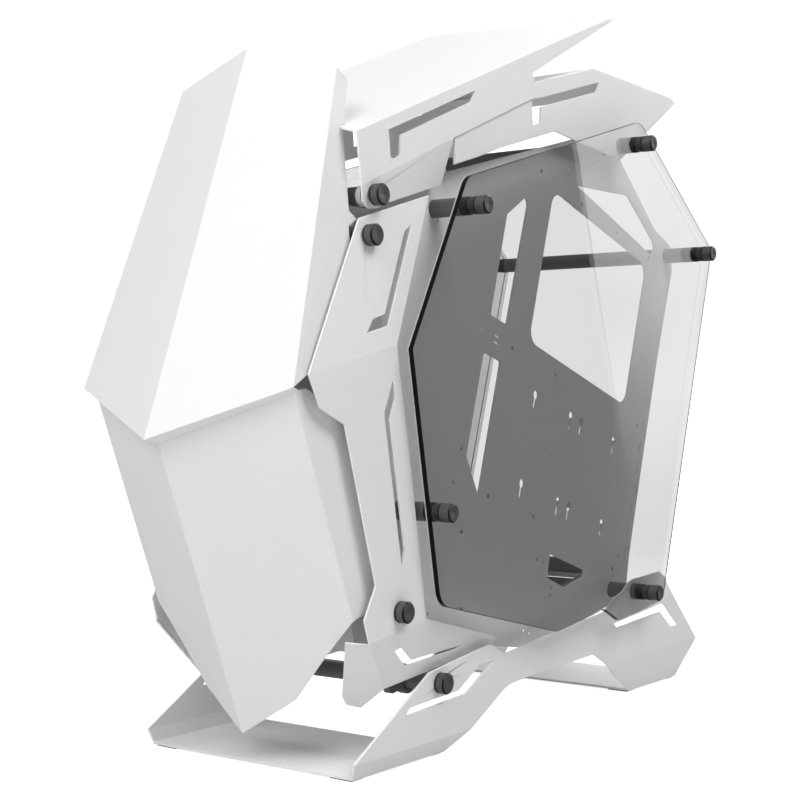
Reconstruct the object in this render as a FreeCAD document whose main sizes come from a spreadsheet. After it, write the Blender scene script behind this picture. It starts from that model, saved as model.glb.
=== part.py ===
import FreeCAD, Part
import math
import os
import Sketcher
from FreeCAD import Placement, Rotation, Vector

# Open-frame computer case made of folded white sheets, two glass panels and black tie rods.
# X runs across the case, the drive side with its glass at +X. The front covers look to -Y.
# Z is up and the feet stand on z = 0. The case is the same on both sides apart from the
# board tray, which stands near the +X glass, and what is fixed to the tray.

doc = FreeCAD.newDocument("computer_case")
sheet = doc.addObject("Spreadsheet::Sheet", "Sizes")

SIZES = {
    # sheets and glass
    "panel_wall": 1.5,
    "tray_wall": 1.5,
    "base_wall": 2.0,
    "glass_wall": 5.0,
    "glass_corner": 16.0,
    "fit_gap": 0.3,
    "hole_slack": 0.3,
    # planes across the case, measured from the middle
    "tray_face": 77.0,
    "frame_face": 78.8,
    "glass_inner": 111.0,
    "blade_face": 100.0,
    "foot_half": 96.0,
    "armour_face": 103.0,
    "armour_lean_in": 6.3,
    "armour_lean_under": 15.0,
    "wing_half": 95.0,
    "wing_tuck": 12.0,
    "hood_inset": 1.8,
    "lower_cover_half": 94.0,
    # rods, knobs and rings
    "rod_radius": 7.0,
    "stud_radius": 3.0,
    "stud_grip": 6.0,
    "glass_knob_radius": 7.0,
    "glass_knob_length": 10.5,
    "frame_knob_radius": 7.8,
    "frame_knob_length": 8.0,
    "knob_edge": 0.8,
    "knob_neck_depth": 0.9,
    "knob_neck_length": 1.4,
    "spacer_length": 7.5,
    "wing_spacer_inset": 13.0,
    "wing_spacer_length": 4.0,
    "wing_spacer_radius": 7.4,
    "peg_radius": 4.0,
    "screw_radius": 1.5,
    "screw_head_radius": 3.2,
    "screw_head_length": 1.8,
    "flush_gap": 0.2,
    # board tray
    "tray_tilt": 17.0,
    "slot_pitch": 20.32,
    "slot_count": 7,
    "drive_pitch_long": 76.6,
    "drive_pitch_short": 61.72,
    "keyhole_radius": 3.8,
    "keyhole_neck": 1.8,
    "keyhole_drop": 10.5,
    "small_hole": 1.7,
    # board standoffs
    "board_column_mid": 154.94,
    "board_column_front": 227.33,
    "board_row_mid": 124.46,
    "board_row_top": 281.94,
    "board_top_offset": 22.86,
    "standoff_radius": 3.0,
    "standoff_length": 6.5,
    "stud_recess": 0.8,
    # rear bracket
    "bracket_depth": 118.0,
    "bracket_height": 157.0,
    "bracket_flange": 12.0,
    "slot_start": 19.5,
    "slot_width": 13.5,
    "slot_length": 98.0,
    # front frame and supply bracket
    "fan_opening": 57.0,
    "fan_pitch": 105.0,
    "fan_hole": 2.3,
    "supply_depth": 88.0,
    "supply_flange": 14.0,
    # lower brace
    "link_face": 72.0,
    "link_wall": 6.0,
    "link_half_width": 4.5,
    "link_boss": 11.0,
    # foot pads
    "pad_wall": 1.2,
    "pad_length": 20.0,
    "pad_width": 12.0,
}
for row, (name, value) in enumerate(SIZES.items(), start=1):
    sheet.set("A%d" % row, name)
    sheet.set("B%d" % row, str(value))
    sheet.setAlias("B%d" % row, name)
doc.recompute()


def size(name):
    return float(sheet.get(name))


# Rod axes as (Y, Z), seen from the glass side.
GLASS_RODS = {
    "glass_rod_front_upper": (-90.0, 408.0),
    "glass_rod_front_lower": (-136.0, 182.0),
    "glass_rod_rear_lower": (190.0, 91.0),
    "glass_rod_rear_upper": (300.0, 401.0),
    "glass_rod_top": (177.0, 489.0),
}
WING_ROD = (-187.5, 407.0)
UPPER_ARMOUR_ROD = (-195.8, 378.0)
LOWER_ARMOUR_ROD = (-169.5, 113.0)
FOOT_ROD = (-116.0, 54.5)
REAR_CROSS_ROD = (192.5, 109.6)

NEAR, FAR = 1.0, -1.0
parts = []


def keep(feature, label):
    feature.Label = label
    parts.append(feature)
    return feature


# Folded sheets. A sheet is given by the flat facets of its outer face. Its inner face is the
# same facets moved in by the wall, and a narrow edge face closes each open side.
def facet_normal(points, core):
    normal = Vector(0, 0, 0)
    for a, b in zip(points, points[1:] + points[:1]):
        normal = normal + a.cross(b)
    normal.normalize()
    middle = sum(points, Vector(0, 0, 0)) * (1.0 / len(points))
    if normal.dot(middle - core) < 0:
        return list(reversed(points)), normal * -1
    return points, normal


def inward_step(normals, wall):
    """Shortest step that lies one wall behind each of the facets meeting at a corner."""
    if len(normals) == 1:
        return normals[0] * -wall
    if len(normals) == 2:
        a, b = normals
        return (a + b) * (-wall / (1.0 + a.dot(b)))
    a, b, c = normals[:3]
    return (b.cross(c) + c.cross(a) + a.cross(b)) * (-wall / a.dot(b.cross(c)))


def flat_face(points):
    return Part.Face(Part.makePolygon(points + points[:1]))


def folded_sheet(facets, wall, core):
    turned = [facet_normal([Vector(*p) for p in facet], core) for facet in facets]

    def key(point):
        return (round(point.x, 3), round(point.y, 3), round(point.z, 3))

    outer = {}
    meeting = {}
    sides = {}
    for points, normal in turned:
        for a, b in zip(points, points[1:] + points[:1]):
            outer.setdefault(key(a), a)
            found = meeting.setdefault(key(a), [])
            if all(normal.dot(other) < 0.99999 for other in found):
                found.append(normal)
            sides.setdefault(frozenset((key(a), key(b))), []).append((key(a), key(b)))
    inner = {place: outer[place] + inward_step(found, wall) for place, found in meeting.items()}
    faces = []
    for points, normal in turned:
        faces.append(flat_face([outer[key(p)] for p in points]))
        faces.append(flat_face([inner[key(p)] for p in reversed(points)]))
    for edges in sides.values():
        if len(edges) == 1:
            start, end = edges[0]
            a, b, c, d = outer[start], outer[end], inner[start], inner[end]
            if abs((b - a).cross(c - a).dot(d - a)) < 1e-6:
                faces.append(flat_face([b, a, c, d]))
            else:
                faces.append(flat_face([b, a, c]))
                faces.append(flat_face([b, c, d]))
    shell = Part.makeShell(faces)
    shell.sewShape()
    solid = Part.makeSolid(shell)
    if solid.Volume < 0:
        solid.reverse()
    return solid


def side_prism(outline, low, high):
    """Prism along X from the plane x = low to x = high over a (Y, Z) outline."""
    points = [Vector(low, y, z) for y, z in outline]
    return flat_face(points).extrude(Vector(high - low, 0, 0))


def side_cylinder(axis, radius, low, high):
    return Part.makeCylinder(radius, high - low, Vector(low, axis[0], axis[1]), Vector(1, 0, 0))


def mirrored(points):
    return [(-x, y, z) for x, y, z in points]


def both_sides(facets):
    return facets + [mirrored(facet) for facet in facets]


def plane_through(a, b, c):
    a, b, c = Vector(*a), Vector(*b), Vector(*c)
    normal = (b - a).cross(c - a)
    normal.normalize()
    return normal, a


def x_on(plane, y, z):
    normal, base = plane
    x = base.x - (normal.y * (y - base.y) + normal.z * (z - base.z)) / normal.x
    return (x, y, z)


def y_on(plane, x, z):
    normal, base = plane
    y = base.y - (normal.x * (x - base.x) + normal.z * (z - base.z)) / normal.y
    return (x, y, z)


def shape_feature(label, shape):
    feature = doc.addObject("Part::Feature", label)
    feature.Shape = shape
    feature.Placement = Placement(Vector(0, 0, 0), Rotation())
    return keep(feature, label)


# Flat plates across X are bodies with a sketched outline, a pad and pockets.
def plane_of(body, role):
    return next(item for item in body.Origin.OriginFeatures if item.Role == role)


def side_sketch(body, name, x_low):
    sketch = body.newObject("Sketcher::SketchObject", name)
    sketch.AttachmentSupport = [(plane_of(body, "YZ_Plane"), "")]
    sketch.MapMode = "FlatFace"
    sketch.AttachmentOffset = Placement(Vector(0, 0, x_low), Rotation())
    return sketch


def draw_outline(sketch, outline):
    first = sketch.GeometryCount
    count = len(outline)
    for a, b in zip(outline, outline[1:] + outline[:1]):
        sketch.addGeometry(Part.LineSegment(Vector(a[0], a[1], 0), Vector(b[0], b[1], 0)), False)
    for index in range(count):
        after = first + (index + 1) % count
        sketch.addConstraint(Sketcher.Constraint("Coincident", first + index, 2, after, 1))


def draw_circle(sketch, centre, radius):
    circle = Part.Circle(Vector(centre[0], centre[1], 0), Vector(0, 0, 1), radius)
    return sketch.addGeometry(circle, False)


def pad(body, name, outline, x_low, wall_cell):
    sketch = side_sketch(body, name + "_outline", x_low)
    draw_outline(sketch, outline)
    feature = body.newObject("PartDesign::Pad", name)
    feature.Profile = sketch
    feature.setExpression("Length", "Sizes." + wall_cell)
    return feature


def pocket(body, name, sketch):
    feature = body.newObject("PartDesign::Pocket", name)
    feature.Profile = sketch
    feature.Type = 1
    feature.Midplane = True
    return feature


def edges_at(shape, corners):
    """Names of the edges along X that pass through the given (Y, Z) corners."""
    names = []
    for index, edge in enumerate(shape.Edges, start=1):
        a, b = edge.Vertexes[0].Point, edge.Vertexes[-1].Point
        if abs(a.y - b.y) < 1e-4 and abs(a.z - b.z) < 1e-4:
            if any(math.hypot(a.y - y, a.z - z) < 0.01 for y, z in corners):
                names.append("Edge%d" % index)
    return names


def round_corners(body, name, corners, radius):
    doc.recompute()
    base = body.Tip
    feature = body.newObject("PartDesign::Fillet", name)
    feature.Base = (base, edges_at(base.Shape, corners))
    feature.Radius = radius
    return feature


# Glass panels, one each side, with five clamped corners.
GLASS_OUTLINE = [(-172.0, 299.0), (-137.0, 115.0), (28.0, 76.0), (108.0, 85.0), (133.0, 73.0),
                 (216.0, 82.0), (319.0, 406.0), (172.0, 508.0), (-102.0, 428.0)]
GLASS_ROUNDED = [(-137.0, 115.0), (216.0, 82.0), (319.0, 406.0), (172.0, 508.0), (-102.0, 428.0)]


def glass_panel(label, side):
    body = doc.addObject("PartDesign::Body", label)
    inner = size("glass_inner")
    low = inner if side == NEAR else -inner - size("glass_wall")
    pad(body, label + "_plate", GLASS_OUTLINE, low, "glass_wall")
    round_corners(body, label + "_corners", GLASS_ROUNDED, size("glass_corner"))
    doc.recompute()
    holes = side_sketch(body, label + "_holes", low)
    for axis in GLASS_RODS.values():
        draw_circle(holes, axis, size("stud_radius") + size("hole_slack"))
    pocket(body, label + "_drilled", holes)
    return keep(body, label)


# Board tray, a flat sheet with cable windows, drive keyholes and a row of bracket slots.
TRAY_OUTLINE = [(-185.0, 303.0), (-150.0, 110.0), (-100.0, 78.0), (40.0, 58.0), (133.0, 68.0),
                (192.0, 78.0), (220.0, 95.0), (226.0, 126.0), (281.0, 300.0), (313.0, 388.0),
                (311.0, 411.0), (277.0, 424.0), (207.0, 482.0), (168.0, 502.0), (-172.0, 412.0),
                (-173.0, 385.0)]
FRONT_TOP_WINDOW = [(14.0, 414.0), (43.0, 431.0), (46.0, 425.0), (13.0, 324.0), (-11.0, 331.0)]
FRONT_LOW_WINDOW = [(-21.0, 301.0), (4.0, 294.0), (-29.0, 187.0), (-46.0, 219.0)]
PROCESSOR_WINDOW = [(88.5, 441.7), (259.7, 389.1), (216.9, 257.2), (47.9, 311.9)]
POWER_WINDOW = [(128.0, 450.0), (222.0, 451.0), (281.0, 407.0), (268.0, 400.0)]
LOW_WINDOW = [(82.0, 132.0), (140.0, 113.0), (138.0, 107.0), (106.0, 101.0), (77.0, 112.0)]
DRIVE_CORNER = (59.0, 267.0)
DRIVE_GROUP_STEP = 80.6
SLOT_ROW_START = (216.0, 121.0)
TRAY_SMALL_HOLES = [(-24.0, 320.0), (157.0, 268.0), (74.0, 220.0), (-64.0, 199.0), (61.0, 129.0),
                    (70.0, 126.0), (84.0, 103.0), (82.0, 97.0), (40.0, 72.0), (49.0, 68.5),
                    (-99.0, 101.0), (116.0, 463.0), (124.0, 463.0), (201.0, 415.0)]
CABLE_SLITS = [[(-4.5, 316.6), (2.7, 313.6), (1.8, 311.6), (-5.3, 314.5)],
               [(-7.1, 311.4), (0.9, 308.9), (0.3, 306.8), (-7.8, 309.4)]]
BOARD_CORNER = (203.0, 119.5)
FRAME_SCREWS = [(-152.0, 150.0), (-170.0, 255.0), (-172.0, 330.0), (-166.0, 372.0)]
SUPPLY_SCREWS = [(-53.0, 100.0), (-53.0, 160.0), (-53.0, 225.0)]
BRACKET_SCREWS = (31.0, 85.0, 139.0)
BRACKET_FOOT = (220.9, 94.4)


def along_tilt(start, rearward, upward):
    """Point moved from start along the tilted axes of the board."""
    tilt = math.radians(size("tray_tilt"))
    y = start[0] + rearward * math.cos(tilt) + upward * math.sin(tilt)
    z = start[1] - rearward * math.sin(tilt) + upward * math.cos(tilt)
    return (y, z)


def keyhole_shape(head):
    """Round head with a narrow neck that drops along the tilt, as a prism through the tray."""
    low = size("tray_face") - 2 * size("tray_wall")
    high = size("tray_face") + size("tray_wall")
    foot = along_tilt(head, 0, -size("keyhole_drop"))
    neck = size("keyhole_neck")
    corners = [along_tilt(head, -neck, 0), along_tilt(head, neck, 0),
               along_tilt(foot, neck, 0), along_tilt(foot, -neck, 0)]
    shape = side_cylinder(head, size("keyhole_radius"), low, high)
    shape = shape.fuse(side_prism(corners, low, high))
    return shape.fuse(side_cylinder(foot, neck, low, high))


def drive_keyholes():
    heads = []
    for group in (0, 1):
        for column in (0, 1):
            for line in (0, 1):
                rearward = group * DRIVE_GROUP_STEP + column * size("drive_pitch_short")
                upward = -line * size("drive_pitch_long")
                heads.append(along_tilt(DRIVE_CORNER, rearward, upward))
    return [keyhole_shape(head) for head in heads]


def slot_place(index):
    return along_tilt(SLOT_ROW_START, 0, index * size("slot_pitch"))


def board_places():
    """The nine fixing points of a full size board, tilted with the tray."""
    places = []
    for upward in (0.0, size("board_row_mid"), size("board_row_top")):
        for forward in (0.0, size("board_column_mid"), size("board_column_front")):
            if upward == size("board_row_top") and forward == 0.0:
                forward = size("board_top_offset")
            places.append(along_tilt(BOARD_CORNER, -forward, upward))
    return places


def bracket_screw_places():
    return [along_tilt(BRACKET_FOOT, -size("bracket_flange") / 2, up) for up in BRACKET_SCREWS]


def tray():
    body = doc.addObject("PartDesign::Body", "tray_plate")
    low = size("tray_face") - size("tray_wall")
    pad(body, "tray_blank", TRAY_OUTLINE, low, "tray_wall")
    windows = side_sketch(body, "tray_windows", low)
    for outline in (FRONT_TOP_WINDOW, FRONT_LOW_WINDOW, PROCESSOR_WINDOW, POWER_WINDOW, LOW_WINDOW):
        draw_outline(windows, outline)
    pocket(body, "tray_opened", windows)
    round_corners(body, "tray_small_corners", FRONT_TOP_WINDOW + FRONT_LOW_WINDOW[:2], 2.5)
    round_corners(body, "tray_power_corners", [POWER_WINDOW[1], POWER_WINDOW[2]], 7.0)
    round_corners(body, "tray_processor_corners", PROCESSOR_WINDOW, 13.0)
    round_corners(body, "tray_rear_corner", TRAY_OUTLINE[9:11], 9.0)
    doc.recompute()
    holes = side_sketch(body, "tray_holes", low)
    for axis in GLASS_RODS.values():
        draw_circle(holes, axis, size("rod_radius") + size("hole_slack"))
    for centre in (TRAY_SMALL_HOLES + board_places() + FRAME_SCREWS + SUPPLY_SCREWS
                   + bracket_screw_places() + [REAR_CROSS_ROD]):
        draw_circle(holes, centre, size("small_hole"))
    for index in range(int(size("slot_count")) + 1):
        draw_outline(holes, [along_tilt(slot_place(index), across, up) for across, up in
                             ((-0.7, -6.0), (0.7, -6.0), (0.7, 6.0), (-0.7, 6.0))])
    for outline in CABLE_SLITS:
        draw_outline(holes, outline)
    pocket(body, "tray_drilled", holes)
    doc.recompute()
    keyholes = doc.addObject("Part::Feature", "drive_keyholes")
    keyholes.Shape = Part.makeCompound(drive_keyholes())
    cut = doc.addObject("Part::Cut", "tray")
    cut.Base = body
    cut.Tool = keyholes
    return keep(cut, "tray")


# Front covers, each folded along a middle ridge.
UPPER_RIDGE_TOP = (0.0, -216.0, 518.0)
UPPER_RIDGE_FOOT = (0.0, -319.0, 236.5)
UPPER_SIDE_FOOT = (99.6, -282.0, 271.4)
UPPER_SIDE_TOP_X = 74.7
UPPER_SIDE_TOP_Z = 497.0
UPPER_FLANGE_BACK = [(-194.0, 489.4), (-204.6, 452.0), (-206.0, 394.5), (-198.0, 389.6),
                     (-208.0, 384.0), (-208.0, 368.0), (-204.0, 356.0), (-234.0, 290.0),
                     (-266.0, 280.0)]
LOWER_RIDGE_TOP = (0.0, -305.0, 232.0)
LOWER_RIDGE_FOOT = (0.0, -221.0, 22.6)
LOWER_SIDE_TOP = (-275.6, 269.0)
LOWER_SIDE_FOOT_Z = 110.0
LOWER_KINK_IN = (43.0, 50.5)
LOWER_KINK_OUT = (71.3, 84.8)
LOWER_TUCK = 8.0
LOWER_FLANGE_BACK = [(-183.0, 119.0), (-181.0, 136.0), (-219.0, 246.0), (-244.0, 262.0),
                     (-262.0, 271.0)]


def upper_face():
    return plane_through(UPPER_RIDGE_TOP, UPPER_RIDGE_FOOT, UPPER_SIDE_FOOT)


def lower_face():
    return plane_through(LOWER_RIDGE_TOP, LOWER_RIDGE_FOOT,
                         (size("lower_cover_half"),) + LOWER_SIDE_TOP)


def meet_plane(start, direction, plane, clearance):
    """Where a line from start along direction comes within the clearance of a plane."""
    normal, base = plane
    if normal.dot(start - base) < 0:
        normal = normal * -1
    reach = (normal.dot(start - base) - clearance) / -normal.dot(direction)
    return start + direction * reach


def front_upper_cover():
    face = upper_face()
    side_top = y_on(face, UPPER_SIDE_TOP_X, UPPER_SIDE_TOP_Z)
    ridge = Vector(*UPPER_RIDGE_FOOT)
    foot = Vector(*UPPER_SIDE_FOOT)
    slope = (UPPER_SIDE_TOP_X - foot.x) / (UPPER_SIDE_TOP_Z - foot.z)
    flange = [side_top] + [(foot.x + slope * (z - foot.z), y, z) for y, z in UPPER_FLANGE_BACK]
    inward = face[0] if face[0].y > 0 else face[0] * -1
    across = (foot - ridge).cross(inward)
    middle = Vector(0, -across.z, across.y)
    middle = middle * (1.0 if middle.y > 0 else -1.0)
    middle.normalize()
    lip = inward.cross(foot - ridge)
    lip.normalize()
    clear = size("fit_gap") + size("panel_wall") * abs(lip.dot(lower_face()[0]))
    lip_side = meet_plane(foot, inward, lower_face(), clear)
    lip_ridge = meet_plane(ridge, middle, lower_face(), clear)
    facets = [
        [UPPER_RIDGE_TOP, UPPER_RIDGE_FOOT, UPPER_SIDE_FOOT, side_top],
        flange + [UPPER_SIDE_FOOT],
        [UPPER_RIDGE_FOOT, UPPER_SIDE_FOOT, tuple(lip_side), tuple(lip_ridge)],
    ]
    core = Vector(0, -100, 360)
    shape_feature("front_upper_cover", folded_sheet(both_sides(facets), size("panel_wall"), core))


def front_lower_cover():
    half = size("lower_cover_half")
    face = lower_face()
    ridge_top = y_on(face, 0.0, LOWER_RIDGE_TOP[2] + LOWER_TUCK)
    side_top = (half,) + LOWER_SIDE_TOP
    side_foot = y_on(face, half, LOWER_SIDE_FOOT_Z)
    kinks = [y_on(face, x, z) for x, z in (LOWER_KINK_OUT, LOWER_KINK_IN)]
    flange = [(half, y, z) for y, z in LOWER_FLANGE_BACK]
    facets = [
        [ridge_top, side_top, side_foot] + kinks + [LOWER_RIDGE_FOOT],
        [side_top, side_foot] + flange,
    ]
    core = Vector(0, -100, 150)
    shape_feature("front_lower_cover", folded_sheet(both_sides(facets), size("panel_wall"), core))


# Side armour: a sheet each side whose top leans in, whose lower arm is tucked under the base
# blade and whose front ends in a turned-in chin.
ARMOUR_CREST = [(-270.6, 280.0), (-172.5, 302.0)]
ARMOUR_TOP = [(-118.0, 414.5), (-203.7, 389.4)]
ARMOUR_REAR_EDGE = [(-169.4, 283.6), (-152.4, 195.7)]
ARMOUR_ARM_FOLD = [(-137.0, 104.6), (-205.6, 94.4)]
ARMOUR_FRONT_EDGE = [(-210.7, 111.5), (-197.6, 134.2), (-232.3, 246.3), (-258.9, 257.9)]
ARM_EDGE = [(-24.8, 76.0), (-31.7, 70.5), (-115.3, 62.3), (-173.6, 57.6)]
CHIN_INNER_X = 92.0
CHIN_EDGE = [(-218.2, 96.2), (-190.6, 52.1), (-184.1, 45.2), (-174.7, 42.2)]
UPPER_ARMOUR_SLOT = [(-151.8, 384.8), (-142.6, 390.7), (-181.4, 315.1), (-205.7, 309.3),
                     (-197.7, 319.3), (-183.7, 323.4)]
LOWER_ARMOUR_SLOT = [(-177.7, 276.5), (-175.4, 264.5), (-181.9, 249.1), (-164.0, 156.5),
                     (-167.0, 145.4), (-187.7, 254.0)]
ARM_SLOT = [(-170.2, 85.1), (-161.8, 86.5), (-144.3, 74.8), (-77.5, 76.4), (-85.4, 74.8),
            (-152.3, 71.9)]


def leaning_plane(edge, lean, downward):
    """Plane that leaves the armour's upright middle along one edge and leans in."""
    face = size("armour_face")
    front, rear = [Vector(face, *point) for point in edge]
    fold = rear - front
    fold.normalize()
    away = Vector(1, 0, 0).cross(fold)
    if (away.z > 0) == downward:
        away = away * -1
    step = away - Vector(math.tan(math.radians(lean)), 0, 0)
    return plane_through(tuple(front), tuple(rear), tuple(front + step * 100.0))


def armour_planes():
    face = size("armour_face")
    upper = leaning_plane(ARMOUR_CREST, size("armour_lean_in"), False)
    middle = (Vector(1, 0, 0), Vector(face, 0, 0))
    arm = leaning_plane(ARMOUR_ARM_FOLD, size("armour_lean_under"), True)
    return upper, middle, arm


def armour(label, side):
    face = size("armour_face")
    upper, middle, arm = armour_planes()
    crest_front, crest_rear = [(face,) + point for point in ARMOUR_CREST]
    fold_rear, fold_front = [(face,) + point for point in ARMOUR_ARM_FOLD]
    arm_edge = [x_on(arm, y, z) for y, z in ARM_EDGE]
    chin = plane_through(fold_front, arm_edge[-1], (CHIN_INNER_X,) + CHIN_EDGE[0])
    upper_facet = [crest_front, crest_rear] + [x_on(upper, y, z) for y, z in ARMOUR_TOP]
    middle_facet = [crest_front, crest_rear] + [(face,) + point for point in ARMOUR_REAR_EDGE]
    middle_facet += [fold_rear, fold_front] + [(face,) + point for point in ARMOUR_FRONT_EDGE]
    arm_facet = [fold_front, fold_rear] + arm_edge
    chin_facet = [fold_front] + [x_on(chin, y, z) for y, z in CHIN_EDGE] + [arm_edge[-1]]
    shape = folded_sheet([upper_facet, middle_facet, arm_facet, chin_facet], size("panel_wall"),
                         Vector(0, -140, 200))
    reach = face + size("panel_wall")
    for outline in (UPPER_ARMOUR_SLOT, LOWER_ARMOUR_SLOT, ARM_SLOT):
        shape = shape.cut(side_prism(outline, 0, reach))
    for axis in (UPPER_ARMOUR_ROD, LOWER_ARMOUR_ROD):
        shape = shape.cut(side_cylinder(axis, size("stud_radius") + size("hole_slack"), 0, reach))
    if side == FAR:
        shape = shape.mirror(Vector(0, 0, 0), Vector(1, 0, 0))
    shape_feature(label, shape)


# Top front wing, a roof with a middle ridge, straight sides and tucked lower strips.
WING_RIDGE_FRONT = (0.0, -211.0, 477.0)
WING_RIDGE_REAR = (0.0, 17.0, 571.0)
WING_FOLD_FRONT = (-209.0, 449.0)
WING_FOLD_REAR_Y = 150.0
WING_TAIL = (164.0, 600.0)
WING_SIDE_BACK = [(24.6, 528.5), (32.4, 511.0)]
WING_LOW_REAR = (-89.6, 460.2)
WING_LOW_FRONT = (-203.1, 412.2)
WING_STRIP = [(-97.7, 424.4), (-168.0, 403.6), (-181.0, 398.6), (-191.0, 397.0), (-198.5, 401.0)]
WING_SLOT = [(-172.0, 455.0), (-60.0, 501.0), (-67.0, 491.0), (-158.0, 453.0), (-158.0, 439.0),
             (-169.0, 433.0)]
# Notches in the roof that let in the flanges of the upper front cover.
WING_NOTCH = (77.0, 80.6)
WING_NOTCH_OUTLINE = [(-240.0, 430.0), (-202.8, 430.0), (-202.8, 490.0), (-240.0, 490.0)]


def wing_strip_plane():
    half = size("wing_half")
    fold = Vector(0, WING_LOW_REAR[0] - WING_LOW_FRONT[0], WING_LOW_REAR[1] - WING_LOW_FRONT[1])
    fold.normalize()
    down = Vector(0, fold.z, -fold.y)
    tuck = math.radians(size("wing_tuck"))
    step = down * math.cos(tuck) - Vector(math.sin(tuck), 0, 0)
    front = Vector(half, *WING_LOW_FRONT)
    return plane_through(tuple(front), (half,) + WING_LOW_REAR, tuple(front + step * 100.0))


def top_front_wing():
    half = size("wing_half")
    roof = plane_through(WING_RIDGE_FRONT, WING_RIDGE_REAR, (half,) + WING_FOLD_FRONT)
    fold_front = (half,) + WING_FOLD_FRONT
    slope_z = roof[1].z - (roof[0].x * (half - roof[1].x)
                           + roof[0].y * (WING_FOLD_REAR_Y - roof[1].y)) / roof[0].z
    fold_rear = (half, WING_FOLD_REAR_Y, slope_z)
    side = [fold_front, fold_rear, (half,) + WING_TAIL] + [(half, y, z) for y, z in WING_SIDE_BACK]
    side += [(half,) + WING_LOW_REAR, (half,) + WING_LOW_FRONT]
    strip_plane = wing_strip_plane()
    strip = [(half,) + WING_LOW_FRONT, (half,) + WING_LOW_REAR]
    strip += [x_on(strip_plane, y, z) for y, z in WING_STRIP]
    facets = [[WING_RIDGE_FRONT, WING_RIDGE_REAR, fold_rear, fold_front], side, strip]
    shape = folded_sheet(both_sides(facets), size("panel_wall"), Vector(0, -60, 440))
    for low in (WING_NOTCH[0], -WING_NOTCH[1]):
        shape = shape.cut(side_prism(WING_NOTCH_OUTLINE, low, low + WING_NOTCH[1] - WING_NOTCH[0]))
    reach = half + size("panel_wall")
    shape = shape.cut(side_prism(WING_SLOT, -reach, reach))
    shape = shape.cut(side_cylinder(WING_ROD, size("stud_radius") + size("hole_slack"), -reach, reach))
    shape_feature("top_front_wing", shape)


# Top rear hood, an angular cap over the tray that the top glass rod carries.
HOOD_ROOF = [(-50.0, 498.5), (128.0, 550.6), (279.0, 548.2)]
HOOD_SIDE = [(287.0, 544.2), (177.0, 476.6), (96.0, 483.6), (63.0, 486.6), (-22.5, 461.6),
             (-54.0, 450.6), (-86.0, 440.8)]
HOOD_ROOF_END = 236.0
HOOD_SLOT = [(26.0, 506.6), (139.0, 540.0), (133.0, 530.6), (40.0, 503.6), (39.0, 490.6),
             (28.0, 486.8)]


def top_rear_hood():
    half = size("wing_half") - size("hood_inset")
    low, high, tail = [(half,) + point for point in HOOD_ROOF]
    share = (HOOD_ROOF_END - high[1]) / (tail[1] - high[1])
    roof_end = (half, HOOD_ROOF_END, high[2] + share * (tail[2] - high[2]))
    side = [low, high, roof_end, tail] + [(half, y, z) for y, z in HOOD_SIDE]
    facets = both_sides([side])
    facets.append([low, high] + mirrored([high, low]))
    facets.append([high, roof_end] + mirrored([roof_end, high]))
    shape = folded_sheet(facets, size("panel_wall"), Vector(0, 100, 440))
    reach = half + size("panel_wall")
    shape = shape.cut(side_prism(HOOD_SLOT, -reach, reach))
    axis = GLASS_RODS["glass_rod_top"]
    shape = shape.cut(side_cylinder(axis, size("rod_radius") + size("hole_slack"), -reach, reach))
    shape_feature("top_rear_hood", shape)


# Base frame, one folded sheet: two blades joined by a front and a rear floor strip.
FRONT_FOOT = (-215.0, -103.0)
REAR_FOOT = (187.0, 281.0)
FRONT_BAND_TOP = (-218.0, -73.0, 13.0)
REAR_BAND_TOP = (138.0, 319.0, 33.0)
BLADE_TOP = [(262.0, 86.5), (252.0, 98.0), (241.0, 104.0), (200.0, 102.0), (190.0, 102.0),
             (180.0, 99.5), (170.0, 93.0), (150.0, 87.5), (138.0, 78.8), (-27.0, 64.0),
             (-46.0, 74.0), (-128.0, 64.0)]
BLADE_ARCH = [(-27.0, 36.0), (-16.0, 39.0), (7.0, 40.5), (76.0, 42.5), (117.0, 44.0)]
BLADE_FRONT_SLOT = [(-159.0, 37.0), (-153.0, 42.0), (-90.0, 45.0), (-71.0, 55.0), (-62.0, 60.0),
                    (-42.0, 61.0), (-81.0, 41.0)]
BLADE_REAR_SLOT = [(153.0, 66.0), (158.0, 62.0), (242.0, 67.0), (265.0, 50.0), (279.0, 50.0),
                   (248.0, 74.0)]


def base_frame():
    blade = size("blade_face")
    foot = size("foot_half")
    front_low, front_high = FRONT_BAND_TOP[:2]
    rear_low, rear_high = REAR_BAND_TOP[:2]
    band_front = [(blade, front_low, FRONT_BAND_TOP[2]), (blade, front_high, FRONT_BAND_TOP[2])]
    band_rear = [(blade, rear_low, REAR_BAND_TOP[2]), (blade, rear_high, REAR_BAND_TOP[2])]
    floor_front = [(foot, y, size("pad_wall")) for y in FRONT_FOOT]
    floor_rear = [(foot, y, size("pad_wall")) for y in REAR_FOOT]
    side = band_front + [(blade, y, z) for y, z in BLADE_ARCH] + band_rear
    side += [(blade, y, z) for y, z in BLADE_TOP]
    facets = both_sides([side, floor_front + band_front[::-1], floor_rear + band_rear[::-1]])
    for strip in (floor_front, floor_rear):
        facets.append(strip + mirrored(strip)[::-1])
    shape = folded_sheet(facets, size("base_wall"), Vector(0, 40, 60))
    reach = blade + size("base_wall")
    for outline in (BLADE_FRONT_SLOT, BLADE_REAR_SLOT):
        shape = shape.cut(side_prism(outline, -reach, reach))
    shape = shape.cut(side_cylinder(FOOT_ROD, size("stud_radius") + size("hole_slack"), -reach, reach))
    axis = GLASS_RODS["glass_rod_rear_lower"]
    shape = shape.cut(side_cylinder(axis, size("rod_radius") + size("hole_slack"), -reach, reach))
    shape_feature("base_frame", shape)


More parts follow.
